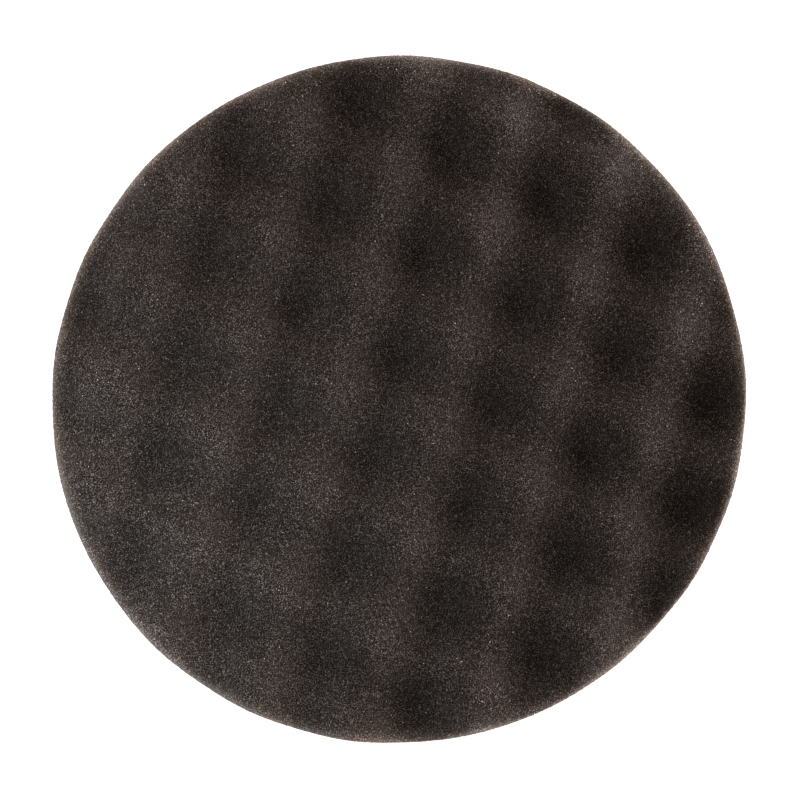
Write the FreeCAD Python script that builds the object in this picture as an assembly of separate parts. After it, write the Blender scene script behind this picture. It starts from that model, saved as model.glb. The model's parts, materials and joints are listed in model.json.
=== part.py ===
import FreeCAD, Part
import math
import os

# An 8 in foam polishing pad, hook-and-loop back down, waffle face up. Millimetres, +Z up.
# The origin is the centre of the plane that the loop back rests on.
# The pad is a lamination of four layers, die cut together, so every layer has the same outline.

# Outline and layers, from the back plane up
PAD_DIAMETER = 203.2          # 8 in die
OVERALL_THICKNESS = 31.75     # 1.25 in, back plane to the crests of the waffle
PILE_HEIGHT = 1.6             # raised loops, the surface that a hook-faced plate grips
GROUND_THICKNESS = 0.5        # knitted ground that the loops stand on
FILM_THICKNESS = 0.2          # hot-melt film between the cloth and the foam

# The waffle face: rounded crests and pits, staggered row by row like an egg tray.
# Its height is the product of two cosine waves, one along the rows and one across them.
WAFFLE_DEPTH = 12.0           # crest to pit
ROW_PITCH = 38.3              # crest to crest along a row
ROW_ANGLE = 24.5              # direction of the rows, degrees from +X
ROW_OFFSET = 2.3              # first crest from the centre, along that direction
CROSS_PITCH = 49.4            # crest to crest across the rows, two rows on
CROSS_ANGLE = -66.7           # direction across the rows, degrees from +X
CROSS_OFFSET = 12.8           # first crest from the centre, along that direction

# Spacing of the points that the smooth face is passed through, a small part of a pitch
FACE_POINT_SPACING = 4.0
FACE_OVERHANG = 6.0           # how far the face is made wider than the pad before it is cut

PAD_RADIUS = PAD_DIAMETER / 2
GROUND_BASE = PILE_HEIGHT
FILM_BASE = GROUND_BASE + GROUND_THICKNESS
FOAM_BASE = FILM_BASE + FILM_THICKNESS


def wave(x, y, pitch, angle, offset):
    """Cosine wave of one pitch that runs in one direction, 1 at its crests and -1 in its troughs."""
    heading = math.radians(angle)
    distance = x * math.cos(heading) + y * math.sin(heading)
    return math.cos(2 * math.pi * (distance - offset) / pitch)


def waffle_height(x, y):
    """Height of the waffle face above the back plane."""
    along = wave(x, y, ROW_PITCH, ROW_ANGLE, ROW_OFFSET)
    across = wave(x, y, CROSS_PITCH, CROSS_ANGLE, CROSS_OFFSET)
    return OVERALL_THICKNESS - WAFFLE_DEPTH * (1 - along * across) / 2


def waffle_face():
    """One smooth face through a square grid of points on the waffle."""
    reach = PAD_RADIUS + FACE_OVERHANG
    steps = math.ceil(2 * reach / FACE_POINT_SPACING)
    places = [-reach + 2 * reach * i / steps for i in range(steps + 1)]
    points = [[FreeCAD.Vector(x, y, waffle_height(x, y)) for y in places] for x in places]
    surface = Part.BSplineSurface()
    surface.interpolate(points)
    return surface.toShape()


def disc(base, thickness):
    """Plain layer of the pad's outline."""
    return Part.makeCylinder(PAD_RADIUS, thickness, FreeCAD.Vector(0, 0, base))


def foam_disc():
    """Open-cell foam: straight die-cut side, flat back and the waffle on top."""
    below_face = waffle_face().extrude(FreeCAD.Vector(0, 0, -2 * OVERALL_THICKNESS))
    blank = disc(FOAM_BASE, OVERALL_THICKNESS)
    return blank.common(below_face).Solids[0]


def bond_film():
    """Hot-melt film, melted into both the foam and the cloth."""
    return disc(FILM_BASE, FILM_THICKNESS)


def loop_ground_cloth():
    """Knitted ground of the loop cloth."""
    return disc(GROUND_BASE, GROUND_THICKNESS)


def loop_pile():
    """Envelope of the raised loops, from the back plane to the ground cloth."""
    return disc(0, PILE_HEIGHT)


PIECES = {
    "foam_disc": foam_disc,
    "bond_film": bond_film,
    "loop_ground_cloth": loop_ground_cloth,
    "loop_pile": loop_pile,
}

os.makedirs("parts", exist_ok=True)
for name, make_piece in PIECES.items():
    make_piece().exportStep(os.path.join("parts", name + ".step"))
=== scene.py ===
import json
import math

import bpy
import numpy as np
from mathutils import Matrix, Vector


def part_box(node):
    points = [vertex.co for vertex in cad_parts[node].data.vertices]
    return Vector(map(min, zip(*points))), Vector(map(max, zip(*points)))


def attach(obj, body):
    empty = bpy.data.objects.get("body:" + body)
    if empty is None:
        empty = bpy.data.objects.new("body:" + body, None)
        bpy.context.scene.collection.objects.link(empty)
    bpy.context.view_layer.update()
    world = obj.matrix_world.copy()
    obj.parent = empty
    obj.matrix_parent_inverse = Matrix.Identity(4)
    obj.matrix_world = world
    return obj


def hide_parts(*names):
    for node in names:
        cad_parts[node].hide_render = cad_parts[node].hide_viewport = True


# An 8 in foam polishing pad with a waffle face, lying on its loop back. Metres, +Z up.

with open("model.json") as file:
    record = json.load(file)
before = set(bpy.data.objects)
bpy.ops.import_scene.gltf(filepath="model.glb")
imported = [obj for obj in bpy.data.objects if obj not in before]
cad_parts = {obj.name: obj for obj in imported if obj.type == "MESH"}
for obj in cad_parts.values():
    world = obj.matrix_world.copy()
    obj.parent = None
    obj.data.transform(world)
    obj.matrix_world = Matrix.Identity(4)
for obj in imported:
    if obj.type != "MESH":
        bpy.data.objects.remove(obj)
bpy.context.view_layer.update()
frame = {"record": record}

MM = 0.001
BODY = "root"

foam_low, foam_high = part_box("foam_disc")
film_low, film_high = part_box("bond_film")
ground_low, ground_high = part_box("loop_ground_cloth")
pile_low, pile_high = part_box("loop_pile")

PAD_RADIUS = (foam_high[0] - foam_low[0]) / 2
CREST_Z = frame["record"]["size"]["bbox_m"][2]
FOAM_BASE_Z = foam_low[2]

# The waffle, as the design has it: the product of two cosine waves
WAFFLE_DEPTH = 12.0 * MM
ROW_PITCH, ROW_ANGLE, ROW_OFFSET = 38.3 * MM, math.radians(24.5), 2.3 * MM
CROSS_PITCH, CROSS_ANGLE, CROSS_OFFSET = 49.4 * MM, math.radians(-66.7), 12.8 * MM

# Foam is never cut quite true: its outline relaxes into a slight oval, and its height wanders
OVAL_SWING = 0.70 * MM
OVAL_ANGLE = math.radians(21.6)
HEIGHT_WANDER = 0.25 * MM
WANDER_PITCH = 45 * MM
EDGE_ROUNDING = 1.6 * MM         # where the face rolls over into the side
EDGE_ROLL = math.pi / 3          # how far the face has turned over at the last of its points
SIDE_HOLLOW = 0.7 * MM           # a die squeezes the foam, so the side comes out slightly hollow
CELL_SIZE = 0.7 * MM             # open cells of the foam
CELL_RELIEF = 0.06 * MM          # how far the cut cells stand in and out

rng = np.random.default_rng(8)


# ---------------------------------------------------------------- mesh helpers

def mesh_object(name, vertices, polygons):
    """Object from a vertex array and a list of polygon arrays, each of polygons with one corner count."""
    mesh = bpy.data.meshes.new(name)
    corner_counts = np.concatenate([np.full(len(p), p.shape[1]) for p in polygons])
    corners = np.concatenate([p.ravel() for p in polygons])
    mesh.vertices.add(len(vertices))
    mesh.vertices.foreach_set("co", np.ascontiguousarray(vertices, dtype=np.float32).ravel())
    mesh.loops.add(len(corners))
    mesh.loops.foreach_set("vertex_index", corners.astype(np.int32))
    mesh.polygons.add(len(corner_counts))
    starts = np.concatenate([[0], np.cumsum(corner_counts)[:-1]])
    mesh.polygons.foreach_set("loop_start", starts.astype(np.int32))
    mesh.update(calc_edges=True)
    mesh.validate()
    mesh.polygons.foreach_set("use_smooth", np.full(len(mesh.polygons), True))
    piece = bpy.data.objects.new(name, mesh)
    bpy.context.collection.objects.link(piece)
    return piece


def disc_grid(steps):
    """Evenly spread points of a unit disc, as a square grid squeezed into it, with its quads.

    Returns x, y, quads and the indices of the rim points, anticlockwise from the -X -Y corner."""
    side = np.linspace(-1, 1, steps + 1)
    a, b = np.meshgrid(side, side, indexing="ij")
    near_x = np.abs(a) > np.abs(b)
    reach = np.where(near_x, a, b)
    other = np.where(near_x, b, a)
    turn = np.pi / 4 * other / np.where(reach == 0, 1, reach)
    x = np.where(near_x, reach * np.cos(turn), reach * np.sin(turn))
    y = np.where(near_x, reach * np.sin(turn), reach * np.cos(turn))
    index = np.arange((steps + 1) ** 2).reshape(steps + 1, steps + 1)
    quads = np.stack([index[:-1, :-1], index[1:, :-1], index[1:, 1:], index[:-1, 1:]], -1).reshape(-1, 4)
    rim = np.concatenate([index[:-1, 0], index[-1, :-1], index[:0:-1, -1], index[0, :0:-1]])
    return x.ravel(), y.ravel(), quads, rim


def ring_quads(upper, lower):
    """Quads between two closed rings of point indices, facing out when the rings run anticlockwise."""
    return np.stack([upper, lower, np.roll(lower, -1), np.roll(upper, -1)], -1)


NOISE_WAVES = 16


def smooth_noise(x, y, size):
    """Gentle height noise of about unit swing: a few plane waves of random heading."""
    total = np.zeros_like(x)
    for _ in range(NOISE_WAVES):
        heading = rng.uniform(0, 2 * np.pi)
        pitch = size * rng.uniform(0.7, 1.8)
        phase = rng.uniform(0, 2 * np.pi)
        total += np.cos(2 * np.pi * (x * np.cos(heading) + y * np.sin(heading)) / pitch + phase)
    return total / math.sqrt(NOISE_WAVES / 2)


# ---------------------------------------------------------------- foam

def wave(x, y, pitch, angle, offset):
    """Cosine wave of one pitch that runs in one direction, 1 at its crests and -1 in its troughs."""
    return np.cos(2 * np.pi * (x * np.cos(angle) + y * np.sin(angle) - offset) / pitch)


def waffle_height(x, y):
    """Height of the waffle face above the back plane."""
    along = wave(x, y, ROW_PITCH, ROW_ANGLE, ROW_OFFSET)
    across = wave(x, y, CROSS_PITCH, CROSS_ANGLE, CROSS_OFFSET)
    return CREST_Z - WAFFLE_DEPTH * (1 - along * across) / 2


def outline_radius(theta):
    """Radius of the relaxed outline in each direction."""
    return PAD_RADIUS + OVAL_SWING * np.cos(2 * (theta - OVAL_ANGLE))


FACE_STEPS = 384
SIDE_RINGS = 44
RING_CROWDING = 1.35             # the side's rings stand closer together near the edge
HOLLOW_SHARPNESS = 1.2


def rolled_face(x, y):
    """Points of the waffle face, whose last stretch rolls over in place of a sharp corner.

    Returns the points, the angle of each about the centre, and how far it stands in from the outline."""
    share, theta = np.hypot(x, y), np.arctan2(y, x)
    radius = outline_radius(theta)
    flat_share = 1 - EDGE_ROUNDING / PAD_RADIUS
    over = np.clip((share - flat_share) / (1 - flat_share), 0, 1)
    roll = over * EDGE_ROLL
    reach = np.where(share > flat_share,
                     flat_share * radius + EDGE_ROUNDING * np.sin(roll),
                     share * radius)
    px, py = reach * np.cos(theta), reach * np.sin(theta)
    top = waffle_height(px, py) + HEIGHT_WANDER * smooth_noise(px, py, WANDER_PITCH)
    pz = top - EDGE_ROUNDING * (1 - np.cos(roll))
    return np.stack([px, py, pz], -1), theta, radius - reach


def side_rings(edge_radius, theta, edge_z):
    """Rings of points from the rolled edge down to the back, hollow in the middle."""
    rings = []
    for ring in range(1, SIDE_RINGS + 1):
        depth = (ring / SIDE_RINGS) ** RING_CROWDING
        z = edge_z + (FOAM_BASE_Z - edge_z) * depth
        # the rest of the rounding, over half its height, then the hollow side
        turn = np.clip((edge_z - z) / (EDGE_ROUNDING / 2), 0, 1)
        bulge = EDGE_ROUNDING * (1 - math.sin(EDGE_ROLL)) * np.sin(turn * np.pi / 2)
        hollow = SIDE_HOLLOW * np.sin(np.pi * depth) ** HOLLOW_SHARPNESS
        r = edge_radius + bulge - hollow
        rings.append(np.stack([r * np.cos(theta), r * np.sin(theta), z], -1))
    return rings


def make_foam():
    """Closed block of foam, with an "edge" value at each point that is 1 at the cut edge of its face,
    where the foam's material paints a pale glow of light shining through the thin rim.
    """
    x, y, quads, rim = disc_grid(FACE_STEPS)
    face, theta, inward = rolled_face(x, y)
    edge_radius, edge_z = np.hypot(face[rim, 0], face[rim, 1]), face[rim, 2]
    sides = side_rings(edge_radius, theta[rim], edge_z)
    rings = [rim] + [len(face) + len(rim) * ring + np.arange(len(rim)) for ring in range(SIDE_RINGS)]
    side_quads = [ring_quads(upper, lower) for upper, lower in zip(rings[:-1], rings[1:])]
    back = rings[-1][::-1][None, :]
    foam = mesh_object("foam", np.concatenate([face] + sides), [quads, np.concatenate(side_quads), back])
    inward = np.concatenate([inward] + [np.zeros(len(rim))] * SIDE_RINGS)
    below = np.concatenate([np.zeros(len(face))] + [edge_z - side[:, 2] for side in sides])
    # mask of the painted glow: light shining through the thin rim is painted into the colour, fading
    # inward and down the side
    edge = np.exp(-inward / RIM_GLOW_REACH) * np.exp(-below / RIM_GLOW_DROP)
    foam.data.attributes.new("edge", "FLOAT", "POINT").data.foreach_set("value", edge.astype(np.float32))
    roughen(foam, CELL_RELIEF, fixed=rings[-1])
    return foam


def roughen(piece, relief, fixed):
    """Moves each point in or out along its normal, mostly by less than the relief, never over twice it."""
    mesh = piece.data
    co = np.empty(len(mesh.vertices) * 3, dtype=np.float32)
    normals = np.empty(len(mesh.vertices) * 3, dtype=np.float32)
    mesh.vertices.foreach_get("co", co)
    mesh.vertex_normals.foreach_get("vector", normals)
    step = relief * rng.standard_normal(len(mesh.vertices))
    step = np.clip(step, -2 * relief, 2 * relief)
    step[fixed] = 0
    mesh.vertices.foreach_set("co", co + normals * np.repeat(step, 3).astype(np.float32))
    mesh.update()


# ---------------------------------------------------------------- back layers

EDGE_PROUD = 0.6                 # how far a layer's edge rounds out, as a share of half its thickness


def make_layer(name, low, high, inset, wobble, steps):
    """Thin disc layer between two heights: upper face, lower face and a rounded, slightly uneven edge."""
    x, y, quads, rim = disc_grid(steps)
    share, theta = np.hypot(x, y), np.arctan2(y, x)
    radius = outline_radius(theta) - inset
    middle, half = (low + high) / 2, (high - low) / 2
    px, py = share * radius * np.cos(theta), share * radius * np.sin(theta)
    count = len(px)
    upper = np.stack([px, py, np.full(count, high)], -1)
    lower = np.stack([px, py, np.full(count, low)], -1)
    edge_theta, edge_radius = theta[rim], radius[rim]
    proud = half * EDGE_PROUD + wobble * rng.standard_normal(len(rim))
    proud = (proud + np.roll(proud, 1) + np.roll(proud, -1)) / 3
    edge = np.stack([(edge_radius + proud) * np.cos(edge_theta),
                     (edge_radius + proud) * np.sin(edge_theta),
                     np.full(len(rim), middle)], -1)
    edge_ring = np.arange(2 * count, 2 * count + len(rim))
    sides = np.concatenate([ring_quads(rim, edge_ring), ring_quads(edge_ring, rim + count)])
    vertices = np.concatenate([upper, lower, edge])
    return mesh_object(name, vertices, [quads, quads[:, ::-1] + count, sides])


LOOP_SPACING = 2.0 * MM
LOOP_WIDTH = 1.7 * MM
LOOP_YARN = (0.34 * MM, 0.12 * MM)       # half width and half thickness of the bundle of filaments
LOOP_WIDTH_SHARES = (0.8, 1.2)           # narrowest and widest loop, as shares of LOOP_WIDTH
LOOP_DROP_SHARES = (0.82, 0.985)         # shortest and deepest loop, as shares of the pile's height
LOOP_LEAN = 0.35 * MM                    # how far a loop leans sideways
LOOP_SCATTER = 0.18                      # how far loops stray, as a share of their spacing
LOOP_TURN = 0.5                          # and how far they turn, in radians
LOOP_BELLY = 0.35                        # how much wider an arch is below its feet
LOOP_FLATNESS = 0.7                      # under 1, the bottom of an arch is flatter than a half circle
PILE_INSET = 1.2 * MM                    # how far in from the pad's edge the courses stop
RIM_FRINGE_INSETS = (1.5 * MM, 1.2 * MM, 0.9 * MM)
RIM_FRINGE_LOOPS = 620                   # in each ring of the fringe
RIM_FRINGE_SCATTER = 0.3                 # how far they stray along it, as a share of their spacing
RIM_FRINGE_WANDER = 0.1 * MM             # and how far in or out of it
RIM_FRINGE_TURN = 0.35                   # and how far they turn, in radians
LOOP_BENDS = 5                           # rings of points from one foot of an arch to the other
LOOP_SIDES = 3                           # points in each ring


def loop_places():
    """Middle and heading of each loop: staggered courses, then rings of loops that run along the edge."""
    reach = PAD_RADIUS - PILE_INSET
    rows = int(2 * reach / LOOP_SPACING)
    places = []
    for row in range(rows + 1):
        y = -reach + row * LOOP_SPACING
        shift = LOOP_SPACING / 2 * (row % 2)
        for column in range(rows + 1):
            x = -reach + column * LOOP_SPACING + shift
            if math.hypot(x, y) < reach:
                places.append((x, y))
    places = np.array(places) + rng.normal(0, LOOP_SCATTER * LOOP_SPACING, (len(places), 2))
    heading = rng.normal(0, LOOP_TURN, len(places))
    # the cut edge frays into a thicker fringe
    count = RIM_FRINGE_LOOPS
    step = 2 * np.pi / count
    for inset in RIM_FRINGE_INSETS:
        turn = np.arange(count) * step + rng.normal(0, RIM_FRINGE_SCATTER * step, count)
        radius = PAD_RADIUS - inset + rng.uniform(-RIM_FRINGE_WANDER, RIM_FRINGE_WANDER, count)
        ring = np.stack([radius * np.cos(turn), radius * np.sin(turn)], -1)
        ring_heading = turn + np.pi / 2 + rng.uniform(-RIM_FRINGE_TURN, RIM_FRINGE_TURN, count)
        places = np.concatenate([places, ring])
        heading = np.concatenate([heading, ring_heading])
    return places, heading


def make_loops():
    """The pile: arches of filament bundle that hang from the ground cloth, all in one mesh."""
    places, heading = loop_places()
    total = len(places)
    width = LOOP_WIDTH * rng.uniform(*LOOP_WIDTH_SHARES, total)
    drop = (pile_high[2] - pile_low[2]) * rng.uniform(*LOOP_DROP_SHARES, total)
    lean = rng.normal(0, LOOP_LEAN, total)
    yarn_half_width, yarn_half_depth = LOOP_YARN
    bends = np.linspace(0, np.pi, LOOP_BENDS)
    corners = np.arange(LOOP_SIDES) * 2 * np.pi / LOOP_SIDES
    # centre line of each loop, along its heading, across it and down
    dx, dy = np.cos(heading), np.sin(heading)
    along = -np.cos(bends) * (1 + LOOP_BELLY * np.sin(bends))
    dip = np.sin(bends) ** LOOP_FLATNESS
    s = width[:, None] / 2 * along
    t = lean[:, None] * dip
    cx = places[:, :1] + s * dx[:, None] - t * dy[:, None]
    cy = places[:, 1:] + s * dy[:, None] + t * dx[:, None]
    cz = pile_high[2] - (drop - yarn_half_depth)[:, None] * dip
    # the bundle's section: wide across the loop, thin through it
    across = (yarn_half_width * np.cos(corners))[None, None]
    through = yarn_half_depth * np.sin(corners)
    outward = (-np.cos(bends)[:, None] * through)[None]
    upward = (-np.sin(bends)[:, None] * through)[None]
    vx = cx[:, :, None] + outward * dx[:, None, None] - across * dy[:, None, None]
    vy = cy[:, :, None] + outward * dy[:, None, None] + across * dx[:, None, None]
    vz = cz[:, :, None] + upward
    vertices = np.stack([vx, vy, vz], -1).reshape(-1, 3)
    # quads between each ring of corners and the next
    first = np.arange(total)[:, None, None] * LOOP_BENDS * LOOP_SIDES
    bend = np.arange(LOOP_BENDS - 1)[None, :, None] * LOOP_SIDES
    side = np.arange(LOOP_SIDES)[None, None, :]
    after = (side + 1) % LOOP_SIDES
    start = first + bend
    quads = np.stack([start + side, start + after,
                      start + LOOP_SIDES + after, start + LOOP_SIDES + side], -1)
    return mesh_object("loop_pile_yarns", vertices, [quads.reshape(-1, 4)])


# ---------------------------------------------------------------- materials

# Sockets of a colour mix node, by number because several of them share a name
MIX_SHARE, MIX_A, MIX_B, MIX_RESULT = 0, 6, 7, 2


def node(tree, kind, **settings):
    """New node with its properties and, by their names with _ for a space, its input values."""
    made = tree.nodes.new(kind)
    for key, value in settings.items():
        if hasattr(made, key):
            setattr(made, key, value)
    for key, value in settings.items():
        socket = made.inputs.get(key.replace("_", " "))
        if socket is not None and not hasattr(made, key):
            socket.default_value = value
    return made


def new_material(name):
    """New material with its node tree and its shader."""
    material = bpy.data.materials.new(name)
    material.use_nodes = True
    tree = material.node_tree
    return material, tree, tree.nodes["Principled BSDF"]


def link(tree, source, output, target, socket):
    """Link from an output to an input, each by name or number."""
    tree.links.new(source.outputs[output], target.inputs[socket])


def ramp(tree, value, output, stops):
    """Colour ramp on a value. stops are (place, colour) pairs."""
    made = tree.nodes.new("ShaderNodeValToRGB")
    elements = made.color_ramp.elements
    while len(elements) < len(stops):
        elements.new(0.5)
    for element, (place, colour) in zip(elements, stops):
        element.position = place
        element.color = (*colour, 1)
    link(tree, value, output, made, "Fac")
    return made


def grey_ramp(tree, value, output, stops):
    """Ramp of greys on a value. stops are (place, level) pairs."""
    return ramp(tree, value, output, [(place, (level,) * 3) for place, level in stops])


def multiply(tree, first, first_output, second, second_output):
    """Product of two colours."""
    made = node(tree, "ShaderNodeMix", data_type="RGBA", blend_type="MULTIPLY")
    made.inputs[MIX_SHARE].default_value = 1.0
    link(tree, first, first_output, made, MIX_A)
    link(tree, second, second_output, made, MIX_B)
    return made


GROUND_COLOUR = (0.0115, 0.0055, 0.0040)
STRUT_GREY = 0.100               # added to the ground colour on the walls between cells
STRUT_REACH = (0.02, 0.22)       # from a cell's wall, in cell sizes: strut grey in full, and gone
FACETS_PER_CELL = 3.2
# How bright a facet is for its random tone: most are dull, and the brightest few are painted glints
FACET_TONE_AND_GLINT_GAINS = [(0.3, 0.05), (0.66, 1.0), (0.92, 4.8), (0.95, 5.2), (0.97, 18.0)]
DRIFT_SCALE = 60.0
DRIFT_SWING = 0.14
CREST_PIT_SHADE = 0.13                # painted shade: how much paler the crests are painted, and darker the pits
RIM_GLOW_REACH = 1.1 * MM             # how far in from the cut edge the painted glow reaches
RIM_GLOW_DROP = 0.5 * MM              # and how far down the side
# colour of the painted glow where light shines through the rim
RIM_GLOW_COLOUR = (0.34, 0.31, 0.27)
RIM_GLOW_GAIN = 4.5                   # how much brighter the cells are painted at the edge, as painted glow
RIM_GLOW_BLUR = 0.7                   # and how far they fade into the painted glow's colour


def foam_material():
    """Open-cell foam: dark pores in a lighter net of struts, with painted glints on a few cut facets.

    The dyed polymer is a warm near black; what the struts add to it is neutral grey."""
    material, tree, shader = new_material("charcoal_foam")
    place = node(tree, "ShaderNodeTexCoord")
    cells = node(tree, "ShaderNodeTexVoronoi", voronoi_dimensions="3D", feature="DISTANCE_TO_EDGE",
                 Scale=1 / CELL_SIZE)
    link(tree, place, "Object", cells, "Vector")
    strut_full, strut_gone = STRUT_REACH
    struts = grey_ramp(tree, cells, "Distance", [(strut_full, STRUT_GREY), (strut_gone, 0.0)])
    # finer grain: torn skin of the cells, of random tone, with a painted glint on the brightest facets
    grain = node(tree, "ShaderNodeTexVoronoi", voronoi_dimensions="3D", feature="F1",
                 Scale=FACETS_PER_CELL / CELL_SIZE)
    link(tree, place, "Object", grain, "Vector")
    facet_tone_and_glints = grey_ramp(tree, grain, "Color", FACET_TONE_AND_GLINT_GAINS)
    speckle_and_glints = multiply(tree, struts, "Color", facet_tone_and_glints, "Color")
    colour = node(tree, "ShaderNodeMix", data_type="RGBA", blend_type="ADD")
    colour.inputs[MIX_SHARE].default_value = 1.0
    colour.inputs[MIX_A].default_value = (*GROUND_COLOUR, 1)
    link(tree, speckle_and_glints, MIX_RESULT, colour, MIX_B)
    # slow drift of tone over the block
    drift = node(tree, "ShaderNodeTexNoise", Scale=DRIFT_SCALE, Detail=3.0)
    link(tree, place, "Object", drift, "Vector")
    drift_tone = grey_ramp(tree, drift, "Fac", [(0.3, 1 - DRIFT_SWING), (0.7, 1 + DRIFT_SWING)])
    colour = multiply(tree, colour, MIX_RESULT, drift_tone, "Color")
    # painted shade: the crests are painted paler and the pits darker, as light falls on the crests and
    # shade lies in the pits
    height = node(tree, "ShaderNodeSeparateXYZ")
    link(tree, place, "Object", height, "Vector")
    share = node(tree, "ShaderNodeMapRange")
    share.inputs["From Min"].default_value = CREST_Z - WAFFLE_DEPTH
    share.inputs["From Max"].default_value = CREST_Z
    link(tree, height, "Z", share, "Value")
    painted_height_shade = grey_ramp(tree, share, "Result", [(0.0, 1 - CREST_PIT_SHADE), (1.0, 1 + CREST_PIT_SHADE)])
    colour = multiply(tree, colour, MIX_RESULT, painted_height_shade, "Color")
    # painted glow: the cut edge is painted pale and tan where light shines through the thin rim, and this
    # blurs the cells
    edge = node(tree, "ShaderNodeAttribute", attribute_name="edge")
    rim_glow_tone = grey_ramp(tree, edge, "Fac", [(0.0, 1.0), (1.0, RIM_GLOW_GAIN)])
    colour = multiply(tree, colour, MIX_RESULT, rim_glow_tone, "Color")
    glow_share = grey_ramp(tree, edge, "Fac", [(0.0, 0.0), (1.0, RIM_GLOW_BLUR)])
    rim = node(tree, "ShaderNodeMix", data_type="RGBA")
    link(tree, glow_share, "Color", rim, MIX_SHARE)
    link(tree, colour, MIX_RESULT, rim, MIX_A)
    rim.inputs[MIX_B].default_value = (*RIM_GLOW_COLOUR, 1)
    link(tree, rim, MIX_RESULT, shader, "Base Color")
    bump = node(tree, "ShaderNodeBump", Strength=1.0, Distance=0.5 * MM)
    link(tree, cells, "Distance", bump, "Height")
    bump.invert = True
    link(tree, bump, "Normal", shader, "Normal")
    shader.inputs["Roughness"].default_value = 0.72
    shader.inputs["Specular IOR Level"].default_value = 0.25
    shader.inputs["Sheen Weight"].default_value = 0.05
    shader.inputs["Sheen Roughness"].default_value = 0.5
    shader.inputs["Sheen Tint"].default_value = (1.0, 0.85, 0.74, 1)
    return material


BLOTCH_SCALE = 900.0
FILM_DARK = (0.035, 0.033, 0.032)
FILM_PALE = (0.075, 0.071, 0.068)


def film_material():
    """Hot-melt film: dull, blotched dark grey."""
    material, tree, shader = new_material("hot_melt_film")
    place = node(tree, "ShaderNodeTexCoord")
    blotch = node(tree, "ShaderNodeTexNoise", Scale=BLOTCH_SCALE, Detail=3.0)
    link(tree, place, "Object", blotch, "Vector")
    tone = ramp(tree, blotch, "Fac", [(0.35, FILM_DARK), (0.7, FILM_PALE)])
    link(tree, tone, "Color", shader, "Base Color")
    bump = node(tree, "ShaderNodeBump", Strength=0.4, Distance=0.1 * MM)
    link(tree, blotch, "Fac", bump, "Height")
    link(tree, bump, "Normal", shader, "Normal")
    shader.inputs["Roughness"].default_value = 0.45
    return material


WALE_PITCH = 0.9 * MM
COURSE_PITCH = 0.628 * MM
BAND_REPEAT = 0.314              # a band texture of scale 1 repeats over this length
KNIT_DARK = (0.010, 0.010, 0.011)
KNIT_PALE = (0.050, 0.050, 0.054)


def cloth_material():
    """Warp-knit ground: wales and courses of fine black nylon."""
    material, tree, shader = new_material("knit_ground")
    place = node(tree, "ShaderNodeTexCoord")
    wales = node(tree, "ShaderNodeTexWave", wave_type="BANDS", bands_direction="X",
                 Scale=BAND_REPEAT / WALE_PITCH, Distortion=1.5, Detail=1.0)
    courses = node(tree, "ShaderNodeTexWave", wave_type="BANDS", bands_direction="Y",
                   Scale=BAND_REPEAT / COURSE_PITCH, Distortion=2.0, Detail=1.0)
    link(tree, place, "Object", wales, "Vector")
    link(tree, place, "Object", courses, "Vector")
    weave = multiply(tree, wales, "Color", courses, "Color")
    tone = ramp(tree, weave, MIX_RESULT, [(0.0, KNIT_DARK), (1.0, KNIT_PALE)])
    link(tree, tone, "Color", shader, "Base Color")
    bump = node(tree, "ShaderNodeBump", Strength=0.7, Distance=0.2 * MM)
    link(tree, weave, MIX_RESULT, bump, "Height")
    link(tree, bump, "Normal", shader, "Normal")
    shader.inputs["Roughness"].default_value = 0.8
    shader.inputs["Sheen Weight"].default_value = 0.15
    return material


STREAK_SCALE = 4000.0
YARN_DARK = (0.016, 0.016, 0.018)
YARN_PALE = (0.070, 0.069, 0.073)


def yarn_material():
    """Nylon filament bundles: near black, with a soft lustre and streaks."""
    material, tree, shader = new_material("nylon_loops")
    place = node(tree, "ShaderNodeTexCoord")
    streaks = node(tree, "ShaderNodeTexNoise", Scale=STREAK_SCALE, Detail=2.0)
    link(tree, place, "Object", streaks, "Vector")
    tone = ramp(tree, streaks, "Fac", [(0.3, YARN_DARK), (0.75, YARN_PALE)])
    link(tree, tone, "Color", shader, "Base Color")
    bump = node(tree, "ShaderNodeBump", Strength=0.5, Distance=0.05 * MM)
    link(tree, streaks, "Fac", bump, "Height")
    link(tree, bump, "Normal", shader, "Normal")
    shader.inputs["Roughness"].default_value = 0.5
    shader.inputs["Sheen Weight"].default_value = 0.2
    return material


# ---------------------------------------------------------------- build

def add_piece(piece, material, cad_node):
    """Dresses a piece, sets it on the pad's one body and hides the CAD node it stands in for."""
    piece.data.materials.append(material)
    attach(piece, BODY)
    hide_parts(cad_node)


foam = make_foam()
add_piece(foam, foam_material(), "foam_disc")

film = make_layer("film", film_low[2], film_high[2], inset=0.15 * MM, wobble=0.10 * MM, steps=96)
add_piece(film, film_material(), "bond_film")

cloth = make_layer("ground_cloth", ground_low[2], ground_high[2], inset=0.30 * MM, wobble=0.12 * MM,
                   steps=192)
add_piece(cloth, cloth_material(), "loop_ground_cloth")

loops = make_loops()
add_piece(loops, yarn_material(), "loop_pile")


# ---------------------------------------------------------------- stage, light and camera

BACKDROP_RADIUS = 10.0
PAPER_TONE = 0.9
PAPER_GLOW = 1.0


def glowing_white(name):
    """Seamless studio paper, lit from behind to an even white."""
    material, _, shader = new_material(name)
    shader.inputs["Base Color"].default_value = (PAPER_TONE, PAPER_TONE, PAPER_TONE, 1)
    shader.inputs["Roughness"].default_value = 0.9
    shader.inputs["Emission Color"].default_value = (1, 1, 1, 1)
    shader.inputs["Emission Strength"].default_value = PAPER_GLOW
    return material


def make_floor():
    """White paper that the pad lies on."""
    bpy.ops.mesh.primitive_plane_add(size=2 * BACKDROP_RADIUS, location=(0, 0, 0))
    floor = bpy.context.object
    floor.name = "floor"
    floor.data.materials.append(glowing_white("pale_floor"))


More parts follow.
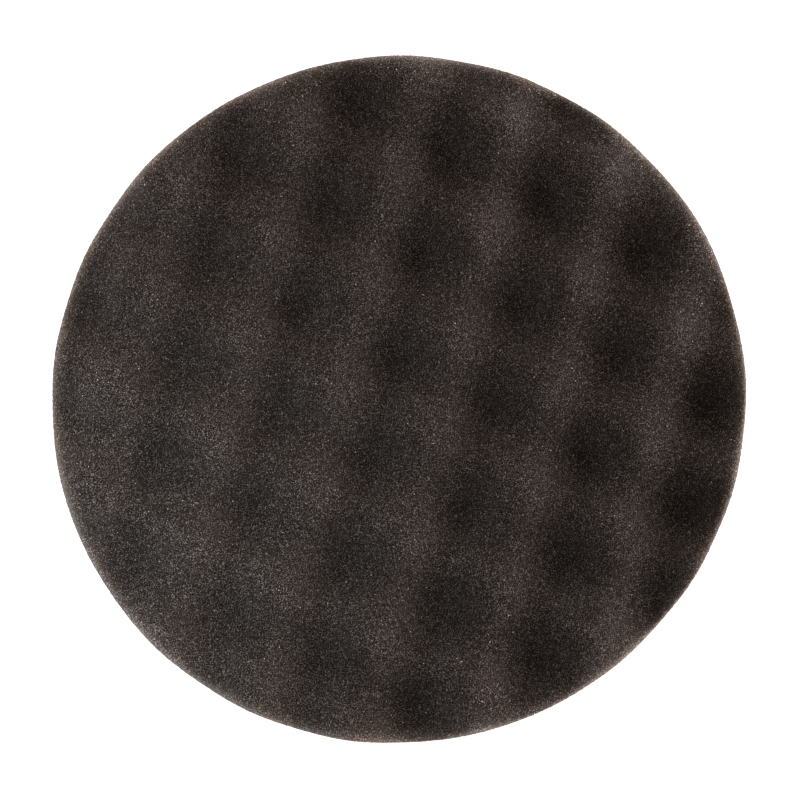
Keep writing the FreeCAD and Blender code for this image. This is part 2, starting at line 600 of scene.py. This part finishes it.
def make_backdrop():
    """White dome behind everything. It is only seen, and lights nothing."""
    bpy.ops.mesh.primitive_uv_sphere_add(radius=BACKDROP_RADIUS, location=(0, 0, 0))
    dome = bpy.context.object
    dome.name = "backdrop"
    dome.data.materials.append(glowing_white("pale_backdrop"))
    dome.visible_diffuse = False
    dome.visible_glossy = False
    dome.visible_shadow = False


CAMERA_DISTANCE = 2.5
CAMERA_OFFSET = (0.41 * MM, -0.16 * MM)      # how far it hangs off the pad's axis
FRAME_WIDTH = 235.2 * MM                     # width of the picture at the middle height of the waffle
SENSOR = 36.0                                # in millimetres, as the lens is
CLIP_END = 100.0


def make_camera():
    """Camera that looks straight down on the pad from far off."""
    data = bpy.data.cameras.new("camera")
    camera = bpy.data.objects.new("camera", data)
    bpy.context.collection.objects.link(camera)
    data.sensor_width = SENSOR
    data.lens = SENSOR * CAMERA_DISTANCE / FRAME_WIDTH
    data.clip_end = CLIP_END
    camera.location = (*CAMERA_OFFSET, CREST_Z - WAFFLE_DEPTH / 2 + CAMERA_DISTANCE)
    bpy.context.scene.camera = camera


# Softboxes as (name, azimuth from +X, elevation, distance from the origin, side, power, colour), with
# angles in degrees and power in watts. Two small ones hang close by on the left, so the tone falls away
# to the right. The three big ones stand far off on the right, two of them low, so that each crest of
# the waffle shades softly.
CLOSE_WHITE = (0.98, 1.0, 1.0)
FAR_WHITE = (1.12, 0.97, 0.90)
SOFTBOXES = [
    ("close_left", 210, 45, 0.16, 0.10, 0.071, CLOSE_WHITE),
    ("close_back_low", 150, 10, 0.25, 0.16, 0.146, FAR_WHITE),
    ("far_front_low", 330, 10, 2.0, 1.2, 28.1, FAR_WHITE),
    ("far_right_low", 45, 5, 2.0, 1.2, 3.9, FAR_WHITE),
    ("far_back", 60, 30, 2.0, 1.2, 14.2, FAR_WHITE),
]


def make_softboxes():
    """Square area lights that face the origin and can't be seen themselves."""
    for name, azimuth, elevation, distance, side, power, colour in SOFTBOXES:
        a, e = math.radians(azimuth), math.radians(elevation)
        towards = Vector((math.cos(e) * math.cos(a), math.cos(e) * math.sin(a), math.sin(e)))
        data = bpy.data.lights.new(name, "AREA")
        data.shape = "SQUARE"
        data.size = side
        data.energy = power
        data.color = colour
        lamp = bpy.data.objects.new(name, data)
        bpy.context.collection.objects.link(lamp)
        lamp.location = distance * towards
        lamp.rotation_euler = towards.to_track_quat("Z", "Y").to_euler()
        lamp.visible_camera = False


make_floor()
make_backdrop()
make_camera()
make_softboxes()

# A weak warm fill from all round
FILL_COLOUR = (1, 0.36, 0.05, 1)
FILL_STRENGTH = 0.06

world = bpy.data.worlds.new("world")
bpy.context.scene.world = world
world.use_nodes = True
sky = world.node_tree.nodes["Background"]
sky.inputs["Color"].default_value = FILL_COLOUR
sky.inputs["Strength"].default_value = FILL_STRENGTH
bpy.context.scene.view_settings.view_transform = "Standard"
